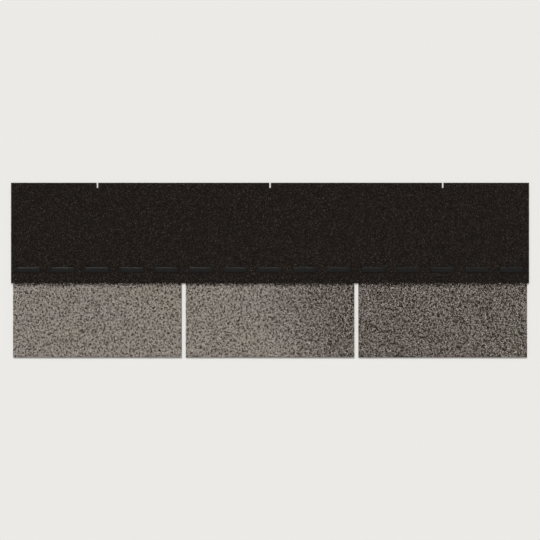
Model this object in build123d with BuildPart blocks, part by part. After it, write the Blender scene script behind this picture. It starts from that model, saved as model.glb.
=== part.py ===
from build123d import *
import os

# A three-tab asphalt strip shingle, metric size, lying granule side up. All sizes are in millimetres.
# X runs along the course, Y up the roof slope and Z away from the roof deck.
# The origin is the middle of the underside, so the butt edge lies at -Y and the top edge at +Y.

# The strip
strip_length = 1000.0
strip_height = 337.0  # butt edge to top edge
strip_thickness = 2.8  # underside to the tops of the granules

# The tabs, which the cutouts divide
tab_count = 3
exposure = 143.0  # height left to the weather, and so the height of every cutout
cutout_width = 8.0
cutout_corner_radius = 1.5  # of the die, at the top of each cutout

# The alignment slits in the top edge, for the cutouts of the next course, laid half a tab over
slit_width = 3.0
slit_depth = 10.0
slit_corner_radius = 0.8

# The self-sealing asphalt beads, which the sun bonds to the tabs of the course above
beads_per_tab = 5
bead_length = 50.0
bead_width = 12.0
bead_height = 0.8
bead_crown_radius = 0.6  # rounding round the top of a bead
bead_row_rise = 25.5  # tops of the cutouts to the middle of the bead row

# The release film, which keeps stacked strips from sticking to each other
film_width = 38.0
film_thickness = 0.05

# Places that follow from the sizes
butt_y = -strip_height / 2
top_y = strip_height / 2
tab_pitch = strip_length / tab_count
bead_pitch = tab_pitch / beads_per_tab
bead_row_y = butt_y + exposure + bead_row_rise
film_y = -bead_row_y  # strips are stacked turned end for end, so the film meets the next strip's beads


# The asphalt sheet with its granules, die-cut from one coated mat
with BuildPart() as sheet:
    with BuildSketch() as outline:
        Rectangle(strip_length, strip_height)
        # Each cutout is centred on the butt edge, so its upper half cuts the sheet. The first and
        # last are centred on the ends, so that two strips side by side share one whole cutout.
        with Locations((0, butt_y)):
            with GridLocations(tab_pitch, 0, tab_count + 1, 1):
                RectangleRounded(cutout_width, 2 * exposure, cutout_corner_radius, mode=Mode.SUBTRACT)
        # A slit stands above the middle of each tab, half a tab from the cutouts.
        with Locations((0, top_y)):
            with GridLocations(tab_pitch, 0, tab_count, 1):
                RectangleRounded(slit_width, 2 * slit_depth, slit_corner_radius, mode=Mode.SUBTRACT)
    extrude(amount=strip_thickness)
    # The film is pressed into the warm underside, flush with it.
    with BuildSketch() as film_seat:
        with Locations((0, film_y)):
            Rectangle(strip_length, film_width)
    extrude(amount=film_thickness, mode=Mode.SUBTRACT)

# The sealing beads, flat where they lie on the granules and rounded on top
with BuildPart() as beads:
    with BuildSketch(Plane.XY.offset(strip_thickness)) as bead_row:
        with Locations((0, bead_row_y)):
            with GridLocations(bead_pitch, 0, beads_per_tab * tab_count, 1):
                SlotOverall(bead_length, bead_width)
    extrude(amount=bead_height)
    fillet(beads.faces().filter_by(Plane.XY).group_by(Axis.Z)[-1].edges(), bead_crown_radius)

# The release film in its seat
with BuildPart() as film:
    with BuildSketch() as film_outline:
        with Locations((0, film_y)):
            Rectangle(strip_length, film_width)
    extrude(amount=film_thickness)

sheet.part.label = "shingle_sheet"
beads.part.label = "sealant_beads"
film.part.label = "release_film"

os.makedirs("parts", exist_ok=True)
for piece in (sheet.part, beads.part, film.part):
    export_step(piece, f"parts/{piece.label}.step")
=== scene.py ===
from math import cos, pi, radians, sin

import bpy
import numpy as np
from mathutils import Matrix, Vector
from mathutils.geometry import delaunay_2d_cdt


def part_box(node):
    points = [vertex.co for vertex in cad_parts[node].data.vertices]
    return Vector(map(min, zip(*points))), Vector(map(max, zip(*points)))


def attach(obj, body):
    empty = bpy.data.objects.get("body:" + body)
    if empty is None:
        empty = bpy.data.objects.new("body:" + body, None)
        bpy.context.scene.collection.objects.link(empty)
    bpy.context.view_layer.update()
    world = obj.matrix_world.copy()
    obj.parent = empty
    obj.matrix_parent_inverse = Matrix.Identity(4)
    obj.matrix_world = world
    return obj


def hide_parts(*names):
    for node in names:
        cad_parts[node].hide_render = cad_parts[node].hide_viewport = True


# A three-tab asphalt strip shingle, lying granule side up and seen from straight above.
# All lengths are in metres: X runs along the course, Y up the roof slope, Z away from the deck.

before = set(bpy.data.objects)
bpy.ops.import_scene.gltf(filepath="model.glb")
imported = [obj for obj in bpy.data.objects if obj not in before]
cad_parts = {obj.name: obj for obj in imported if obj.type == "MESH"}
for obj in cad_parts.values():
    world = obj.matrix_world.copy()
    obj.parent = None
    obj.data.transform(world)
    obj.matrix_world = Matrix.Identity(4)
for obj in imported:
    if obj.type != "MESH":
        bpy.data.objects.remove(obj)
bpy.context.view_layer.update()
sheetLow, sheetHigh = (np.array(corner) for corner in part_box("shingle_sheet"))
beadLow, beadHigh = (np.array(corner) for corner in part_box("sealant_beads"))
filmLow, filmHigh = (np.array(corner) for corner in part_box("release_film"))
print("frame loaded:", ", ".join(sorted(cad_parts)))


# The die that cuts the strip

die = {
    "tabs": 3,
    "exposure": 0.143,  # height left to the weather, and of every cutout
    "cutoutWidth": 0.008,
    "cutoutCorner": 0.0015,
    "slitWidth": 0.003,
    "slitDepth": 0.010,
    "slitCorner": 0.0008,
    "cornerPoints": 5,  # of the outline, round each corner
}
stripLength = sheetHigh[0] - sheetLow[0]
tabPitch = stripLength / die["tabs"]
buttY = sheetLow[1]
topY = sheetHigh[1]
lapY = buttY + die["exposure"]


def roundedHole(x, y, halfWidth, depth, corner):
    # Distance from a rounded rectangle, less than nothing inside it, and the shortest way out of it:
    # round a corner the way points off the corner's centre, and elsewhere straight across the nearer side.
    acrossX = np.abs(x) - (halfWidth - corner)
    acrossY = np.abs(y) - (depth - corner)
    beyond = np.stack([np.maximum(acrossX, 0), np.maximum(acrossY, 0)], 1)
    reach = np.linalg.norm(beyond, axis=1)
    distance = reach + np.minimum(np.maximum(acrossX, acrossY), 0) - corner
    straight = np.where((acrossX > acrossY)[:, None], [1.0, 0.0], [0.0, 1.0])
    slanting = beyond / np.where(reach > 0, reach, 1)[:, None]
    way = np.where((reach > 0)[:, None], slanting, straight)
    return distance, way * np.sign(np.stack([x, y], 1))


def nearestHole(points):
    # each point's distance from the nearest cutout or slit, and the way out of it
    x = points[:, 0] - sheetLow[0]
    fromCutout = (x + tabPitch / 2) % tabPitch - tabPitch / 2
    fromSlit = x % tabPitch - tabPitch / 2
    cutout, cutoutWay = roundedHole(
        fromCutout, points[:, 1] - buttY, die["cutoutWidth"] / 2, die["exposure"], die["cutoutCorner"])
    slit, slitWay = roundedHole(
        fromSlit, points[:, 1] - topY, die["slitWidth"] / 2, die["slitDepth"], die["slitCorner"])
    nearer = cutout < slit
    return np.where(nearer, cutout, slit), np.where(nearer[:, None], cutoutWay, slitWay)


def insideDie(points, margin):
    # which points lie on the strip, at least a margin away from every cut edge
    low, high = sheetLow[:2] + margin, sheetHigh[:2] - margin
    inBox = ((points[:, :2] >= low) & (points[:, :2] <= high)).all(1)
    return inBox & (nearestHole(points)[0] > margin)


def trimToDie(points):
    # moves what hangs over a cut edge back onto it, as the die shears the granules
    distance, way = nearestHole(points)
    points[:, :2] -= np.minimum(distance, 0)[:, None] * way
    points[:, :2] = np.clip(points[:, :2], sheetLow[:2], sheetHigh[:2])
    return points


# Meshes from arrays

def makePiece(name, points, faces, materials, faceSlots=None, uv=None, draws=None, sharpAt=None):
    # points is one row for each vertex, faces one row of three vertices for each triangle
    mesh = bpy.data.meshes.new(name)
    mesh.vertices.add(len(points))
    mesh.vertices.foreach_set("co", points.astype(np.float32).ravel())
    mesh.loops.add(faces.size)
    mesh.loops.foreach_set("vertex_index", faces.astype(np.int32).ravel())
    mesh.polygons.add(len(faces))
    mesh.polygons.foreach_set("loop_start", np.arange(0, faces.size, 3, dtype=np.int32))
    mesh.polygons.foreach_set("use_smooth", np.ones(len(faces), bool))
    if faceSlots is not None:
        mesh.polygons.foreach_set("material_index", faceSlots.astype(np.int32))
    mesh.update(calc_edges=True)
    if uv is not None:
        corners = uv[faces.ravel()].astype(np.float32)
        mesh.uv_layers.new(name="OFBake").uv.foreach_set("vector", corners.ravel())
    if draws is not None:
        mesh.attributes.new("draws", "FLOAT_VECTOR", "POINT").data.foreach_set(
            "vector", draws.astype(np.float32).ravel())
    if sharpAt is not None:
        mesh.set_sharp_from_angle(angle=radians(sharpAt))
    for material in materials:
        mesh.materials.append(material)
    piece = bpy.data.objects.new(name, mesh)
    bpy.context.scene.collection.objects.link(piece)
    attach(piece, "root")
    print(f"{name}: {len(faces)} triangles")
    return piece


def sheetOfQuads(rows, columns, closedAcross=False):
    # triangles of a grid of vertices, numbered row by row; a closed one joins its last column to its first
    row = np.arange(rows - 1)[:, None] * columns
    here = np.arange(columns if closedAcross else columns - 1)
    after = (here + 1) % columns
    a, b = row + here, row + after
    c, d = b + columns, a + columns
    return np.concatenate([np.stack([a, b, c], 2).reshape(-1, 3), np.stack([a, c, d], 2).reshape(-1, 3)])


def tubeFaces(rows, columns):
    # a grid closed across, with one vertex more at each end, the last two of all, to close those
    here = np.arange(columns)
    after = (here + 1) % columns
    lastRow = (rows - 1) * columns
    pole = np.full(columns, rows * columns)
    first = np.stack([pole, after, here], 1)
    last = np.stack([pole + 1, lastRow + here, lastRow + after], 1)
    return np.concatenate([sheetOfQuads(rows, columns, closedAcross=True), first, last])


# Colours and shader nodes

def linear(code):
    # a colour written as six hex digits, as the numbers that a shader takes, by the sRGB curve
    share = np.array([int(code[i:i + 2], 16) for i in (0, 2, 4)]) / 255
    curved = ((share + 0.055) / 1.055) ** 2.4
    return (*np.where(share > 0.04045, curved, share / 12.92).tolist(), 1.0)


def feed(tree, socket, value):
    if isinstance(value, bpy.types.NodeSocket):
        tree.links.new(value, socket)
    else:
        socket.default_value = value


def maths(tree, operation, *values):
    node = tree.nodes.new("ShaderNodeMath")
    node.operation = operation
    for socket, value in zip(node.inputs, values):
        feed(tree, socket, value)
    return node.outputs[0]


def mixColour(tree, share, first, second, how="MIX"):
    # a Mix node takes its two colours at sockets 6 and 7, and gives a colour at its third output
    node = tree.nodes.new("ShaderNodeMix")
    node.data_type = "RGBA"
    node.blend_type = how
    for place, value in ((0, share), (6, first), (7, second)):
        feed(tree, node.inputs[place], value)
    return node.outputs[2]


def mapRange(tree, value, fromLow, fromHigh, toLow, toHigh, smooth=False):
    node = tree.nodes.new("ShaderNodeMapRange")
    node.interpolation_type = "SMOOTHSTEP" if smooth else "LINEAR"
    for place, one in enumerate((value, fromLow, fromHigh, toLow, toHigh)):
        feed(tree, node.inputs[place], one)
    return node.outputs[0]


def parts(tree, vector):
    # the three numbers of a vector or a colour
    node = tree.nodes.new("ShaderNodeSeparateXYZ")
    feed(tree, node.inputs[0], vector)
    return node.outputs


def stretched(tree, place, scale, turn=0.0):
    # a pattern's place, turned about Z and with its steps scaled
    node = tree.nodes.new("ShaderNodeMapping")
    node.inputs["Rotation"].default_value = (0.0, 0.0, turn)
    node.inputs["Scale"].default_value = scale
    feed(tree, node.inputs["Vector"], place)
    return node.outputs[0]


def noise(tree, place, scale, detail=2.0, roughness=0.5):
    node = tree.nodes.new("ShaderNodeTexNoise")
    feed(tree, node.inputs["Vector"], place)
    node.inputs["Scale"].default_value = scale
    node.inputs["Detail"].default_value = detail
    node.inputs["Roughness"].default_value = roughness
    return node.outputs[0]


def cells(tree, place, scale, feature="F1", output="Color"):
    # cells of a flat pattern seen from above, a number of them to each metre
    node = tree.nodes.new("ShaderNodeTexVoronoi")
    node.voronoi_dimensions = "2D"
    node.feature = feature
    feed(tree, node.inputs["Vector"], place)
    node.inputs["Scale"].default_value = scale
    return node.outputs[output]


def stones(tree, pick, lot):
    # a pick from 0 to 1 falls on one stone of the lot, each stone having its share
    node = tree.nodes.new("ShaderNodeValToRGB")
    node.color_ramp.interpolation = "CONSTANT"
    total = sum(share for colour, share in lot)
    start = 0.0
    for number, (colour, share) in enumerate(lot):
        stop = node.color_ramp.elements[0] if number == 0 else node.color_ramp.elements.new(start)
        stop.position = start
        stop.color = linear(colour)
        start += share / total
    node.color_ramp.elements.remove(node.color_ramp.elements[-1])
    feed(tree, node.inputs[0], pick)
    return node.outputs[0]


def bump(tree, height, distance):
    node = tree.nodes.new("ShaderNodeBump")
    node.inputs["Distance"].default_value = distance
    feed(tree, node.inputs["Height"], height)
    return node.outputs[0]


def newGroup(name, inputs, outputs):
    # inputs and outputs give each socket's name and kind
    group = bpy.data.node_groups.new(name, "ShaderNodeTree")
    for label, kind in inputs.items():
        group.interface.new_socket(name=label, in_out="INPUT", socket_type=kind)
    for label, kind in outputs.items():
        group.interface.new_socket(name=label, in_out="OUTPUT", socket_type=kind)
    return group, group.nodes.new("NodeGroupInput").outputs, group.nodes.new("NodeGroupOutput").inputs


def useGroup(tree, group, **values):
    node = tree.nodes.new("ShaderNodeGroup")
    node.node_tree = group
    for label, value in values.items():
        feed(tree, node.inputs[label], value)
    return node.outputs


def newMaterial(name):
    material = bpy.data.materials.new(name)
    material.use_nodes = True
    tree = material.node_tree
    place = tree.nodes.new("ShaderNodeTexCoord").outputs["Object"]
    return material, tree, place, tree.nodes["Principled BSDF"].inputs


# The granule blend, which the granules and the finer grit between them share

blend = {
    "light": [
        ("25170d", 0.19), ("392b20", 0.04), ("746b64", 0.03), ("b1a59d", 0.05), ("ada79b", 0.05),
        ("c7bfb7", 0.13), ("c2beb7", 0.12), ("cfc8bf", 0.13), ("cfcac1", 0.11), ("dcd8d2", 0.08),
        ("b09b8e", 0.04),
    ],
    "dark": [
        ("23180f", 0.22), ("3f3228", 0.16), ("695e57", 0.06), ("635e54", 0.06), ("8f847e", 0.08),
        ("8c877d", 0.06), ("b3aba4", 0.10), ("aeaba2", 0.07), ("d0cbc4", 0.13), ("e5e2db", 0.06),
        ("876d61", 0.03),
    ],
    "lap": [
        ("161413", 0.32), ("211f1d", 0.30), ("2f2b29", 0.21), ("433e3a", 0.12), ("615951", 0.05),
    ],
    "darkFrom": -0.03,  # along the strip, where the light blend starts to give way to the dark one
    "darkTo": 0.15,
    "darkWander": 0.05,
    "wanderNoise": (9.0, 3.0),  # here and below, a noise's scale, detail and roughness
    "wanderSpan": (0.3, 0.7),  # here and below, the part of a noise that is spread over the whole range
    "lapFade": 0.004,  # either side of the line where the lap's black granules start
    "lapDrop": 0.003,  # how far below the top of the cutouts that line lies
    "tints": ("fefcf7", "fcf8f8"),  # faint clouds of two tints over all of it
    "tintNoise": (7.0, 4.0, 0.6),
    "tintSpan": (0.35, 0.65),
}


def zonesGroup():
    # where along the strip the dark blend lies, and where up the strip the lap's blend lies
    group, given, put = newGroup(
        "Granule zones",
        {"Place": "NodeSocketVector"},
        {"Dark": "NodeSocketFloat", "Lap": "NodeSocketFloat"})
    x, y, _ = parts(group, given["Place"])
    wander = blend["darkWander"]
    cloud = noise(group, given["Place"], *blend["wanderNoise"])
    along = maths(group, "ADD", x, mapRange(group, cloud, *blend["wanderSpan"], -wander, wander))
    dark = mapRange(group, along, blend["darkFrom"], blend["darkTo"], 0.0, 1.0, smooth=True)
    line = lapY - blend["lapDrop"]
    lap = mapRange(group, y, line - blend["lapFade"], line + blend["lapFade"], 0.0, 1.0)
    feed(group, put["Dark"], dark)
    feed(group, put["Lap"], lap)
    return group


def coloursGroup():
    # one stone's colour: its first draw picks the stone, and the others say which blend it came from
    group, given, put = newGroup(
        "Granule colours",
        {"Draws": "NodeSocketVector", "Place": "NodeSocketVector",
         "Dark": "NodeSocketFloat", "Lap": "NodeSocketFloat"},
        {"Color": "NodeSocketColor"})
    pick, lot, edge = parts(group, given["Draws"])
    light, dark, lap = (stones(group, pick, blend[name]) for name in ("light", "dark", "lap"))
    tab = mixColour(group, maths(group, "LESS_THAN", lot, given["Dark"]), light, dark)
    colour = mixColour(group, maths(group, "LESS_THAN", edge, given["Lap"]), tab, lap)
    cloud = noise(group, given["Place"], *blend["tintNoise"])
    share = mapRange(group, cloud, *blend["tintSpan"], 0.0, 1.0)
    tint = mixColour(group, share, *map(linear, blend["tints"]))
    feed(group, put["Color"], mixColour(group, 1.0, colour, tint, "MULTIPLY"))
    return group


zones = zonesGroup()
colours = coloursGroup()


# The granules

granules = {
    "pitch": 0.00150,
    "rowStep": 0.866,  # between the rows of a triangular grid, in pitches
    "wander": 0.34,  # how far a stone strays from its place, in pitches
    "smallest": 0.00058,  # radius of a stone
    "largest": 0.00098,
    "cornerReach": (0.75, 1.2),  # of each corner from a stone's middle, in radii
    "cornerShift": 0.22,  # how far it is pulled each way after that
    "stretch": 0.28,  # how much longer or shorter a stone is each way, as a share
    "flatness": 0.85,  # share of a stone's height that is left when it is pressed in
    "lowestTop": 0.00235,  # lowest height that the top of a stone has, the highest being the sheet's
    "buried": 0.0014,  # where the bottoms of the stones end, inside the asphalt
    "clump": (0.0028, 0.0031),  # like stones lie together in spots of about this width and height
    "clumping": 0.98,  # share of the stones that belong to a clump
    "clumpedPicks": 0.38,  # below this, which takes in the dark stones, a whole clump has one colour
    "clumpTable": 512,  # rows and columns of clumps before they repeat, an even number
    "clumpSeeds": (7, 8),
    "lapShare": 0.43,  # of the places that hold a stone on the lap, which the next course covers
    "edgeMargin": 0.0002,
    "mapMargin": 0.001,  # kept free round the colour map, as a share of it
    "tabSeed": 31,
    "lapSeed": 41,
    "roughness": (0.62, 0.92),
    "shine": 0.16,  # here and below, how strongly a surface reflects, a half being usual
    "pitNoise": (3500.0, 2.0),
    "pitDepth": 0.00006,
}


def granuleMaterial():
    # ceramic-coated crushed stone, one colour to a stone, dull with a few glassier ones
    material, tree, place, shader = newMaterial("Coated granules")
    read = tree.nodes.new("ShaderNodeAttribute")
    read.attribute_name = "draws"
    draws = read.outputs["Vector"]
    zone = useGroup(tree, zones, Place=place)
    colour = useGroup(tree, colours, Draws=draws, Place=place, Dark=zone["Dark"], Lap=zone["Lap"])
    feed(tree, shader["Base Color"], colour["Color"])
    feed(tree, shader["Roughness"], mapRange(tree, parts(tree, draws)[2], 0.0, 1.0, *granules["roughness"]))
    feed(tree, shader["Normal"], bump(tree, noise(tree, place, *granules["pitNoise"]), granules["pitDepth"]))
    shader["Specular IOR Level"].default_value = granules["shine"]
    return material


def randomTurns(rng, count):
    # rotation matrices from random unit quaternions, so that every way up is as likely
    drawn = rng.normal(size=(4, count))
    w, x, y, z = drawn / np.linalg.norm(drawn, axis=0)
    return np.stack([
        1 - 2 * (y * y + z * z), 2 * (x * y - w * z), 2 * (x * z + w * y),
        2 * (x * y + w * z), 1 - 2 * (x * x + z * z), 2 * (y * z - w * x),
        2 * (x * z - w * y), 2 * (y * z + w * x), 1 - 2 * (x * x + y * y)], 1).reshape(-1, 3, 3)


def stonePlaces(low, high, share, rng):
    # points of a triangular grid, each moved a little at random, less those off the strip
    pitch = granules["pitch"]
    across = np.arange(low[0], high[0], pitch)
    up = np.arange(low[1], high[1], pitch * granules["rowStep"])
    x, y = np.meshgrid(across, up)
    x[1::2] += pitch / 2
    places = np.stack([x.ravel(), y.ravel()], 1)
    places += rng.uniform(-1, 1, places.shape) * pitch * granules["wander"]
    keep = insideDie(places, granules["edgeMargin"]) & (rng.random(len(places)) < share)
    return places[keep & (places[:, 0] >= low[0]) & (places[:, 0] < high[0])]


def clumpTable():
    # Each clump has its centre somewhere in its own cell of a square grid, and its own pick. The four
    # picks in each square of two cells by two lie one in each quarter of their range, shuffled.
    size = granules["clumpTable"]
    half = size // 2
    draw, shuffle = (np.random.default_rng(seed) for seed in granules["clumpSeeds"])
    table = draw.random((size, size, 3))
    four = table[..., 2].reshape(half, 2, half, 2).transpose(0, 2, 1, 3).reshape(half, half, 4)
    quarter = shuffle.random(four.shape).argsort(2)
    four = (quarter + four) / 4
    table[..., 2] = four.reshape(half, half, 2, 2).transpose(0, 2, 1, 3).reshape(size, size)
    return table


def clumpPick(places):
    # a stone belongs to the nearest centre in the nine cells round it
    steps = np.stack(np.meshgrid([-1, 0, 1], [-1, 0, 1]), -1).reshape(-1, 2)
    cell = places / granules["clump"]
    near = np.floor(cell).astype(int)[:, None] + steps
    row, column = (near % granules["clumpTable"]).transpose(2, 0, 1)
    found = clumpTable()[row, column]
    apart = near + found[..., :2] - cell[:, None]
    return found[np.arange(len(places)), (apart ** 2).sum(2).argmin(1), 2]


def stoneDraws(places, rng):
    # Three random numbers for each stone. A dark clump shares its first one, and in a pale clump each
    # stone has its own from the pale end, so that dark specks stand on an even ground.
    draws = rng.random((len(places), 3))
    belongs = rng.random(len(places)) < granules["clumping"]
    clump = clumpPick(places)
    own = granules["clumpedPicks"] + (1 - granules["clumpedPicks"]) * draws[:, 0]
    inClump = np.where(clump < granules["clumpedPicks"], clump, own)
    draws[:, 0] = np.where(belongs, inClump, draws[:, 0])
    return draws


def layGranules(name, low, high, share, seed, material):
    # Each stone is an octahedron of eight faces with its corners pulled about at random, turned any way up,
    # flattened, and sunk so that its top stands at its own height and its bottom is inside the asphalt.
    rng = np.random.default_rng(seed)
    places = stonePlaces(low, high, share, rng)
    count = len(places)
    shift, stretch = granules["cornerShift"], granules["stretch"]
    corners = np.concatenate([np.eye(3), -np.eye(3)]) * rng.uniform(*granules["cornerReach"], (count, 6, 1))
    corners += rng.uniform(-shift, shift, (count, 6, 3))
    corners = np.einsum("nij,nkj->nki", randomTurns(rng, count), corners)
    corners *= rng.uniform(1 - stretch, 1 + stretch, (count, 1, 3))
    corners *= rng.uniform(granules["smallest"], granules["largest"], (count, 1, 1))
    corners[:, :, 2] *= granules["flatness"]
    tops = rng.uniform(granules["lowestTop"], sheetHigh[2], (count, 1))
    corners[:, :, 2] += tops - corners[:, :, 2].max(1, keepdims=True)
    corners[:, :, 2] = np.maximum(corners[:, :, 2], granules["buried"])
    corners[:, :, :2] += places[:, None]
    points = trimToDie(corners.reshape(-1, 3))
    above = [(0, 1, 2), (1, 3, 2), (3, 4, 2), (4, 0, 2)]
    below = [(1, 0, 5), (3, 1, 5), (4, 3, 5), (0, 4, 5)]
    faces = (np.array(above + below) + 6 * np.arange(count)[:, None, None]).reshape(-1, 3)
    margin = granules["mapMargin"]
    uv = ((points[:, :2] - low) / (np.array(high) - low)).clip(margin, 1 - margin)
    draws = np.repeat(stoneDraws(places, rng), 6, 0)
    makePiece(name, points, faces, [material], uv=uv, draws=draws)


# The sheet under them

sheet = {
    "asphaltTop": 0.00205,
    "step": 0.002,  # between the points of the cut edge
    "edgeRows": ((0.0, 0.0), (0.0004, 0.00012), (0.0010, 0.00004), (0.0016, 0.00014), (0.00205, 0.00022)),
    "edgeTears": 0.00010,  # how far the cut edge is torn in at random
    "innerStep": 0.0085,
    "innerWaves": 0.00004,
    "innerMargin": 0.0018,  # between the cut edge and the points of that grid
    "seatStep": 0.00005,  # half the width of the step at each side of the film's seat
    "mergeWithin": 1e-7,
    "sharpAt": 40,
    "seed": 11,
}


def notch(halfWidth, depth, corner):
    # half of a notch cut inwards from an edge: up its side, round its corner and to its middle line
    turn = np.linspace(0, np.pi / 2, die["cornerPoints"])
    side = np.array([[halfWidth, 0]])
    bend = np.stack([halfWidth - corner + corner * np.cos(turn), depth - corner + corner * np.sin(turn)], 1)
    return np.concatenate([side, bend, [[0, depth]]])


def dieLine():
    # the outline, anticlockwise from the foot of the first tab, each side of it parted into steps
    cutout = notch(die["cutoutWidth"] / 2, die["exposure"], die["cutoutCorner"])
    slit = notch(die["slitWidth"] / 2, die["slitDepth"], die["slitCorner"])
    intoIt, outOfIt = [[-1, 1]], [[1, 1]]
    line = [[[sheetLow[0], lapY]], cutout[-2::-1] * outOfIt + [sheetLow[0], buttY]]
    for number in range(1, die["tabs"]):
        middle = [sheetLow[0] + number * tabPitch, buttY]
        line += [cutout[:-1] * intoIt + middle, cutout[-2::-1] * outOfIt + middle]
    line += [cutout[:-1] * intoIt + [sheetHigh[0], buttY], [[sheetHigh[0], lapY], [sheetHigh[0], topY]]]
    for number in reversed(range(die["tabs"])):
        middle = [sheetLow[0] + (number + 0.5) * tabPitch, topY]
        line += [slit[:-1] * [[1, -1]] + middle, slit[-2::-1] * [[-1, -1]] + middle]
    line += [[[sheetLow[0], topY]]]
    line = np.concatenate(line)
    sides = np.roll(line, -1, 0) - line
    steps = np.ceil(np.linalg.norm(sides, axis=1) / sheet["step"]).astype(int)
    before = np.repeat(np.cumsum(steps) - steps, steps)
    share = (np.arange(steps.sum()) - before) / np.repeat(steps, steps)
    return np.repeat(line, steps, 0) + share[:, None] * np.repeat(sides, steps, 0)


def inwards(line):
    # the way into the sheet at each point of the outline, halfway between its two sides
    ahead = np.roll(line, -1, 0) - line
    ahead /= np.linalg.norm(ahead, axis=1)[:, None]
    both = ahead + np.roll(ahead, 1, 0)
    both /= np.linalg.norm(both, axis=1)[:, None]
    return np.stack([-both[:, 1], both[:, 0]], 1)


def undersideHeight(points):
    # the underside is level, apart from the film's seat
    overFilm = (points[:, 1] > filmLow[1]) & (points[:, 1] < filmHigh[1])
    return np.where(overFilm, filmHigh[2], sheetLow[2])


def capPoints():
    # a loose grid over the sheet, with two close rows at each side of the film's seat
    step, seatStep = sheet["innerStep"], sheet["seatStep"]
    x = np.arange(sheetLow[0] + step / 2, sheetHigh[0], step)
    seat = [edge + off for edge in (filmLow[1], filmHigh[1]) for off in (-seatStep, seatStep)]
    y = np.sort(np.concatenate([np.arange(buttY + step / 2, topY, step), seat]))
    grid = np.stack(np.meshgrid(x, y), -1).reshape(-1, 2)
    return grid[insideDie(grid, sheet["innerMargin"])]


def fillOutline(ring, inner):
    # triangles between the ring and the points inside it
    count = len(ring)
    spots = np.concatenate([ring, inner])
    found = delaunay_2d_cdt(spots.tolist(), [], [list(range(count))], 1, sheet["mergeWithin"])
    if len(found[0]) != len(spots):
        raise ValueError("the outline's fill added or merged points")
    given = np.array([origins[0] for origins in found[3]])
    faces = given[np.array(found[2])]
    a, b, c = (spots[faces[:, corner]] for corner in range(3))
    clockwise = (b - a)[:, 0] * (c - a)[:, 1] < (b - a)[:, 1] * (c - a)[:, 0]
    faces[clockwise] = faces[clockwise, ::-1]
    return faces


def makeSheet(materials):
    # a wall carried along the outline, torn in a little at random, and closed by a fill above and below
    rng = np.random.default_rng(sheet["seed"])
    line = dieLine()
    into = inwards(line)
    count = len(line)
    rows = []
    for height, inset in sheet["edgeRows"]:
        torn = inset + rng.random(count) * sheet["edgeTears"] * (inset > 0)
        rows.append(np.column_stack([line + into * torn[:, None], np.full(count, height)]))
    rows[0][:, 2] = undersideHeight(line)
    inner = capPoints()
    waves = rng.uniform(-1, 1, len(inner)) * sheet["innerWaves"]
    top = np.column_stack([inner, sheet["asphaltTop"] + waves])
    bottom = np.column_stack([inner, undersideHeight(inner)])
    points = np.concatenate([*rows, top, bottom])
    walls = sheetOfQuads(len(rows), count, closedAcross=True)
    lastRow = (len(rows) - 1) * count
    lid = fillOutline(rows[-1][:, :2], inner) + lastRow
    floor = fillOutline(rows[0][:, :2], inner)
    floor = np.where(floor < count, floor, floor + lastRow + len(inner))
    faces = np.concatenate([walls, lid, floor[:, ::-1]])
    faceSlots = np.repeat([1, 0, 2], [len(walls), len(lid), len(floor)])  # which of the materials
    piece = makePiece(
        "asphalt_sheet", points, faces, materials, faceSlots, sharpAt=sheet["sharpAt"])
    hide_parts("shingle_sheet")


grit = {
    "cellsPerMetre": 820.0,
    "narrowGap": 0.1,  # narrowest and widest black asphalt round a stone, as shares of a cell
    "wideGap": 0.4,
    "plainGap": 0.4,  # share of a gap that is plain asphalt, before the stone's side comes up out of it
    "asphaltColour": "1d160f",
    "domeWidth": 0.3,  # of a stone's rounding, as a share of a cell
    "relief": 0.0004,
    "roughness": (0.7, 0.95),  # asphalt, stones
    "shine": 0.04,
}


def gritMaterial():
    # fine granules pressed into the asphalt between the larger ones, with black asphalt in the gaps
    material, tree, place, shader = newMaterial("Fine granules in asphalt")
    zone = useGroup(tree, zones, Place=place)
    draws = cells(tree, place, grit["cellsPerMetre"])
    colour = useGroup(tree, colours, Draws=draws, Place=place, Dark=zone["Dark"], Lap=zone["Lap"])
    toEdge = cells(tree, place, grit["cellsPerMetre"], "DISTANCE_TO_EDGE", "Distance")
    gap = mapRange(tree, parts(tree, draws)[2], 0.0, 1.0, grit["narrowGap"], grit["wideGap"])
    plain = maths(tree, "MULTIPLY", gap, grit["plainGap"])
    stone = mapRange(tree, toEdge, plain, gap, 0.0, 1.0, smooth=True)
    dome = mapRange(tree, toEdge, 0.0, grit["domeWidth"], 0.0, 1.0, smooth=True)
    feed(tree, shader["Base Color"], mixColour(tree, stone, linear(grit["asphaltColour"]), colour["Color"]))
    feed(tree, shader["Normal"], bump(tree, dome, grit["relief"]))
    feed(tree, shader["Roughness"], mapRange(tree, stone, 0.0, 1.0, *grit["roughness"]))
    shader["Specular IOR Level"].default_value = grit["shine"]
    return material


cutEdge = {
    "colours": ("0f0d0c", "2a2522"),
    "grainNoise": (500.0, 4.0, 0.7),
    "grainSpan": (0.3, 0.7),
    "fleckColour": "8d8578",
    "fleckShare": 0.55,
    "fleckNoise": (1600.0, 1.0),
    "fleckSpan": (0.66, 0.72),
    "tornNoise": (900.0, 4.0, 0.7),
    "relief": 0.0004,
    "roughness": (0.55, 0.8),
}


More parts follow.
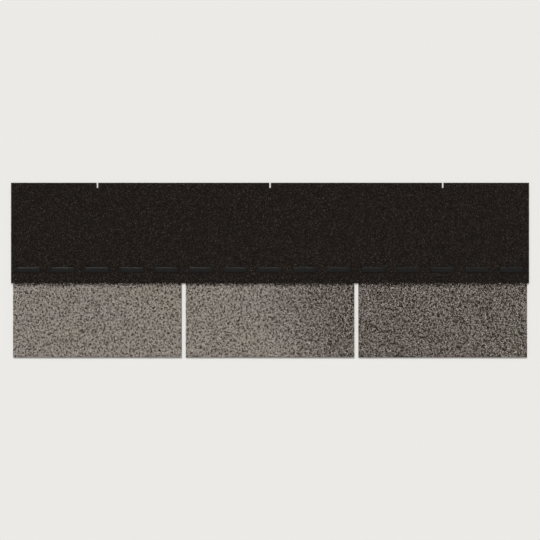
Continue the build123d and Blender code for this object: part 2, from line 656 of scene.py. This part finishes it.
def cutEdgeMaterial():
    # asphalt sheared by the die, black and rough, with ends of the glass mat's fibres showing as pale flecks
    material, tree, place, shader = newMaterial("Cut asphalt edge")
    flecks = noise(tree, place, *cutEdge["fleckNoise"])
    fleck = mapRange(tree, flecks, *cutEdge["fleckSpan"], 0.0, cutEdge["fleckShare"])
    grain = mapRange(tree, noise(tree, place, *cutEdge["grainNoise"]), *cutEdge["grainSpan"], 0.0, 1.0)
    black = mixColour(tree, grain, *map(linear, cutEdge["colours"]))
    feed(tree, shader["Base Color"], mixColour(tree, fleck, black, linear(cutEdge["fleckColour"])))
    feed(tree, shader["Normal"], bump(tree, noise(tree, place, *cutEdge["tornNoise"]), cutEdge["relief"]))
    feed(tree, shader["Roughness"], mapRange(tree, grain, 0.0, 1.0, *cutEdge["roughness"]))
    return material


back = {
    "grainsPerMetre": 1500.0,
    "sandShare": (0.30, 0.86),  # of the grains, where the dusting is thin and thick, the rest being asphalt
    "streakLength": 9.0,  # how much longer the thin and thick streaks are along the strip than across it
    "streakNoise": (40.0, 5.0, 0.6),
    "streakSpan": (0.3, 0.7),
    "asphaltColour": "1f1d1b",
    "sandColours": ("575249", "857e72"),
    "domeWidth": 0.7,  # of a grain, as a share of a cell
    "relief": 0.00025,
    "roughness": (0.62, 0.92),  # asphalt, sand
}


def backMaterial():
    # the underside: asphalt dusted with fine sand, thinner and thicker in streaks along the strip
    material, tree, place, shader = newMaterial("Sanded back")
    drawnOut = stretched(tree, place, (1 / back["streakLength"], 1.0, 1.0))
    streak = noise(tree, drawnOut, *back["streakNoise"])
    share = mapRange(tree, streak, *back["streakSpan"], *back["sandShare"])
    kind, shade, _ = parts(tree, cells(tree, place, back["grainsPerMetre"]))
    isSand = maths(tree, "LESS_THAN", kind, share)
    sand = mixColour(tree, shade, *map(linear, back["sandColours"]))
    feed(tree, shader["Base Color"], mixColour(tree, isSand, linear(back["asphaltColour"]), sand))
    fromMiddle = cells(tree, place, back["grainsPerMetre"], "F1", "Distance")
    dome = maths(tree, "MULTIPLY", isSand, mapRange(tree, fromMiddle, 0.0, back["domeWidth"], 1.0, 0.0))
    feed(tree, shader["Normal"], bump(tree, dome, back["relief"]))
    feed(tree, shader["Roughness"], mapRange(tree, isSand, 0.0, 1.0, *back["roughness"]))
    return material


# The sealing beads

beads = {
    "perTab": 5,
    "length": 0.050,
    "root": 0.0021,  # bottom of a bead, down between the granules
    "squareness": 5,  # power of the ellipse that a bead follows from above: 2 is an oval
    "steepness": 4,  # power of the way out from the middle by which the crown falls off
    "wander": 0.0005,  # how far the rim comes in where the bead was printed thin
    "rimWaves": (2, 3, 5, 9, 16),  # times that each wave of the rim goes round a bead
    "ragged": 0.0007,  # how far the granules at the rim hold the asphalt back
    "squeeze": 3,  # power of the way out, along X and along Y, by which the rim comes in along each
    "lumps": 0.00024,  # how deep the hollows in its crown are
    "lumpLengths": (0.011, 0.0062, 0.0041, 0.0029),
    "lumpLead": 6,  # radians that a wave of the hollows is ahead at most
    "rimPoints": 2001,  # on the ellipse, before they are spaced evenly
    "sides": 96,
    "rings": 8,
    "innermost": 0.12,  # ring, as a share of the way out, before the rings are drawn towards the rim
    "ringCrowding": 0.6,
    "seed": 23,
    "colours": ("070606", "2e2a27"),  # asphalt, and dust on it
    "mostDust": 0.3,
    "dustNoise": (420.0, 5.0, 0.7),
    "dustSpan": (0.55, 0.75),
    "roughness": (0.3, 0.52),
    "smearNoise": (160.0, 4.0),
    "smearSpan": (0.35, 0.65),
    "relief": 0.0003,
    "reliefNoise": (700.0, 3.0),
    "shine": 0.17,
}


def beadRim():
    # points spaced evenly round a squarish ellipse as long and wide as a bead
    turn = np.linspace(0, 2 * np.pi, beads["rimPoints"])
    rim = np.stack([np.cos(turn), np.sin(turn)], 1)
    rim = np.sign(rim) * np.abs(rim) ** (2 / beads["squareness"])
    rim *= np.array([beads["length"], beadHigh[1] - beadLow[1]]) / 2
    along = np.append(0, np.linalg.norm(np.diff(rim, axis=0), axis=1).cumsum())
    even = np.linspace(0, along[-1], beads["sides"], endpoint=False)
    return np.stack([np.interp(even, along, rim[:, 0]), np.interp(even, along, rim[:, 1])], 1)


def comeIn(rng, count):
    # how far each bead's rim comes in: a sum of sines round the bead, and a little more at random
    turn = np.linspace(0, 2 * np.pi, beads["sides"], endpoint=False)
    times = np.array(beads["rimWaves"])
    phases = rng.uniform(0, 2 * np.pi, (count, 1, len(times)))
    wander = (1 + np.sin(turn[:, None] * times + phases).sum(2) / (len(times) / 2)).clip(0, 2) / 2
    return beads["wander"] * wander + beads["ragged"] * rng.random(wander.shape)


def lumpWaves(points, rng):
    # the mean of a few sines that run across each bead, each of them its own way
    lengths = beads["lumpLengths"]
    wave = np.zeros(points.shape[:2])
    for length in lengths:
        way = rng.uniform(0, 2 * np.pi, (len(points), 1))
        along = points[..., 0] * np.cos(way) + points[..., 1] * np.sin(way)
        lead = rng.uniform(0, beads["lumpLead"], (len(points), 1))
        wave += np.sin(along * 2 * np.pi / length + lead) / len(lengths)
    return wave


def makeBeads(material):
    # Each bead is a dome over a squarish ellipse. Its rim comes in by a sum of sines round the bead and a
    # little more at random, its height falls off as the root of one less a power of the way out, and waves
    # that cross each other hollow out its crown.
    rng = np.random.default_rng(beads["seed"])
    count = beads["perTab"] * die["tabs"]
    tallest = beadHigh[2] - beads["root"]
    out = np.linspace(1, beads["innermost"], beads["rings"]) ** beads["ringCrowding"]
    rim = beadRim()
    wayOut = np.abs(rim / np.abs(rim).max(0))
    rim = rim - np.sign(rim) * comeIn(rng, count)[..., None] * wayOut ** beads["squeeze"]
    flat = rim[:, None] * out[:, None, None]
    crown = tallest * (1 - out ** beads["steepness"]) ** 0.5
    height = np.broadcast_to(crown[:, None], flat.shape[:3])
    points = np.concatenate([flat, height[..., None]], 3).reshape(count, -1, 3)
    poles = np.tile([[0.0, 0.0, 0.0], [0.0, 0.0, tallest]], (count, 1, 1))
    points = np.concatenate([points, poles], 1)
    points[..., 2] *= 1 - beads["lumps"] / tallest * (1 + lumpWaves(points, rng)) / 2
    middle = sheetLow[0] + (np.arange(count) + 0.5) * stripLength / count
    points[..., 0] += middle[:, None]
    points[..., 1] += (beadLow[1] + beadHigh[1]) / 2
    points[..., 2] += beads["root"]
    ahead = points.shape[1] * np.arange(count)[:, None, None]
    faces = (tubeFaces(beads["rings"], beads["sides"]) + ahead).reshape(-1, 3)
    piece = makePiece("seal_beads", points.reshape(-1, 3), faces, [material])
    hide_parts("sealant_beads")


def sealMaterial():
    # oxidised asphalt, black and tacky, glossier than the granules round it, with a little dust on its crown
    material, tree, place, shader = newMaterial("Sealing asphalt")
    specks = noise(tree, place, *beads["dustNoise"])
    dust = mapRange(tree, specks, *beads["dustSpan"], 0.0, beads["mostDust"])
    smear = noise(tree, place, *beads["smearNoise"])
    feed(tree, shader["Base Color"], mixColour(tree, dust, *map(linear, beads["colours"])))
    feed(tree, shader["Roughness"], mapRange(tree, smear, *beads["smearSpan"], *beads["roughness"]))
    feed(tree, shader["Normal"], bump(tree, noise(tree, place, *beads["reliefNoise"]), beads["relief"]))
    shader["Specular IOR Level"].default_value = beads["shine"]
    return material


# The release film

film = {
    "steps": 180,
    "across": 10,
    "edgeWander": 0.0004,
    "edgeWaves": (31, 13),  # radians to a metre of the two sines whose product moves its edges
    "edgeLead": 1,  # radians that the slower of the two is ahead
    "crease": 0.00002,
    "creaseWaves": (95, 160),  # radians to a metre of the creases' sine, along and across the film
    "creaseBend": 2,  # radians that they bend by, along the film
    "creaseBendWave": 17,  # radians to a metre of that bending
    "creaseSharpness": 4,  # power of the sine
    "sharpAt": 40,
    "colours": ("868685", "b4b4b4"),  # film, and the milky lines in it
    "milkTurn": 0.5,  # radians that the pattern of those lines is turned by
    "milkStretch": 7.0,
    "milkNoise": (28.0, 6.0, 0.62),
    "milkMiddle": 0.5,  # of the noise, where it is milkiest
    "milkWidth": 0.03,
    "roughness": (0.2, 0.35),
    "relief": 0.0012,
}


def makeFilm(material):
    # A flat ring of points, below and above, carried along the strip. Its edges wander in by a product of
    # two sines, and creases across it lift its underside by the fourth power of a sine of the place along
    # and across the film, whose phase another sine bends along it.
    x = np.linspace(filmLow[0], filmHigh[0], film["steps"] + 1)
    share = np.linspace(0, 1, film["across"])
    fast, slow = film["edgeWaves"]
    wander = film["edgeWander"] * (1 + np.sin(x * fast) * np.sin(x * slow + film["edgeLead"])) / 2
    low, high = filmLow[1] + wander, filmHigh[1] - wander[::-1]
    y = low[:, None] + (high - low)[:, None] * share
    x = np.broadcast_to(x[:, None], y.shape)
    along, across = film["creaseWaves"]
    bend = film["creaseBend"] * np.sin(x * film["creaseBendWave"])
    lift = film["crease"] * np.sin(x * along + y * across + bend) ** film["creaseSharpness"]
    under = np.stack([x, y, filmLow[2] + lift], 2)
    over = np.stack([x, y, np.full(y.shape, filmHigh[2])], 2)[:, ::-1]
    rings = np.concatenate([under, over], 1)
    ends = rings[[0, -1]].mean(1)
    points = np.concatenate([rings.reshape(-1, 3), ends])
    faces = tubeFaces(*rings.shape[:2])
    piece = makePiece("clear_film", points, faces, [material], sharpAt=film["sharpAt"])
    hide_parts("release_film")


def filmMaterial():
    # thin clear film over the dark back: greyish, glossy, and milky along thin lines where it has creased
    material, tree, place, shader = newMaterial("Release film")
    drawnOut = stretched(tree, place, (1.0, film["milkStretch"], 1.0), film["milkTurn"])
    wave = noise(tree, drawnOut, *film["milkNoise"])
    fromMiddle = maths(tree, "ABSOLUTE", maths(tree, "SUBTRACT", wave, film["milkMiddle"]))
    milk = mapRange(tree, fromMiddle, 0.0, film["milkWidth"], 1.0, 0.0)
    feed(tree, shader["Base Color"], mixColour(tree, milk, *map(linear, film["colours"])))
    feed(tree, shader["Roughness"], mapRange(tree, milk, 0.0, 1.0, *film["roughness"]))
    feed(tree, shader["Normal"], bump(tree, wave, film["relief"]))
    return material


# Camera, lamps and floor

camera = {
    "lens": 80,  # mm, on a sensor this wide
    "sensor": 36,
    "fill": 0.96,  # share of the picture's width that the strip takes
    "farthest": 100,
}
studio = {
    "keyShare": 0.58,  # of the light on a level surface, the rest coming from all round
    "keyTilt": 54,  # degrees off straight down
    "keyTurn": 16,  # degrees from the top edge round towards the left end
    "keySoftness": 12,  # degrees that the lamp spans
    "floorSize": 60,
    "floorColour": "eceae6",
    "floorRoughness": 0.9,
    "floorShine": 0.1,
    "backdropColour": "f3f2ef",
}


def makeCamera():
    data = bpy.data.cameras.new("Camera")
    data.lens = camera["lens"]
    data.sensor_width = camera["sensor"]
    data.clip_end = camera["farthest"]
    seen = bpy.data.objects.new("Camera", data)
    distance = stripLength / camera["fill"] * camera["lens"] / camera["sensor"]
    seen.location = (0, 0, sheetHigh[2] + distance)  # unturned, it looks straight down with Y up the picture
    bpy.context.scene.collection.objects.link(seen)
    bpy.context.scene.camera = seen


def makeKey():
    tilt, turn = radians(studio["keyTilt"]), radians(studio["keyTurn"])
    towards = Vector((-sin(turn) * sin(tilt), cos(turn) * sin(tilt), cos(tilt)))
    data = bpy.data.lights.new("Key", "SUN")
    data.energy = studio["keyShare"] * pi / cos(tilt)
    data.angle = radians(studio["keySoftness"])
    lamp = bpy.data.objects.new("Key", data)
    lamp.rotation_euler = towards.to_track_quat("Z", "Y").to_euler()
    bpy.context.scene.collection.objects.link(lamp)


def makeSky():
    # even white light from all round, and the backdrop's own colour where a camera or a reflection sees it
    world = bpy.data.worlds.new("Studio")
    world.use_nodes = True
    tree = world.node_tree
    tree.nodes.clear()
    path = tree.nodes.new("ShaderNodeLightPath").outputs
    seen = maths(tree, "MAXIMUM", path["Is Camera Ray"], path["Is Glossy Ray"])
    seen = maths(tree, "MAXIMUM", seen, path["Is Transmission Ray"])
    light, backdrop = (tree.nodes.new("ShaderNodeBackground") for _ in range(2))
    light.inputs["Strength"].default_value = 1 - studio["keyShare"]
    light.inputs["Color"].default_value = (1, 1, 1, 1)
    backdrop.inputs["Color"].default_value = linear(studio["backdropColour"])
    both = tree.nodes.new("ShaderNodeMixShader")
    feed(tree, both.inputs[0], seen)
    tree.links.new(light.outputs[0], both.inputs[1])
    tree.links.new(backdrop.outputs[0], both.inputs[2])
    tree.links.new(both.outputs[0], tree.nodes.new("ShaderNodeOutputWorld").inputs[0])
    bpy.context.scene.world = world


def makeFloor():
    half = studio["floorSize"] / 2
    mesh = bpy.data.meshes.new("Floor")
    corners = [(-half, -half, 0), (half, -half, 0), (half, half, 0), (-half, half, 0)]
    mesh.from_pydata(corners, [], [(0, 1, 2, 3)])
    material, *_, shader = newMaterial("Pale floor")
    shader["Base Color"].default_value = linear(studio["floorColour"])
    shader["Roughness"].default_value = studio["floorRoughness"]
    shader["Specular IOR Level"].default_value = studio["floorShine"]
    mesh.materials.append(material)
    floor = bpy.data.objects.new("Floor", mesh)
    bpy.context.scene.collection.objects.link(floor)


makeCamera()
makeKey()
makeSky()
makeFloor()
bpy.context.scene.view_settings.view_transform = "Standard"
print("camera, lamps and floor in place")

makeSheet([gritMaterial(), cutEdgeMaterial(), backMaterial()])
stone = granuleMaterial()
for number, side in enumerate(("left", "middle", "right")):
    corner = (sheetLow[0] + number * tabPitch, buttY)
    opposite = (corner[0] + tabPitch, lapY)
    seed = granules["tabSeed"] + number
    layGranules(f"granules_{side}_tab", corner, opposite, 1.0, seed, stone)
for number, side in enumerate(("left", "right")):
    corner = (sheetLow[0] + number * stripLength / 2, lapY)
    opposite = (corner[0] + stripLength / 2, topY)
    seed = granules["lapSeed"] + number
    layGranules(f"granules_{side}_lap", corner, opposite, granules["lapShare"], seed, stone)
makeBeads(sealMaterial())
makeFilm(filmMaterial())
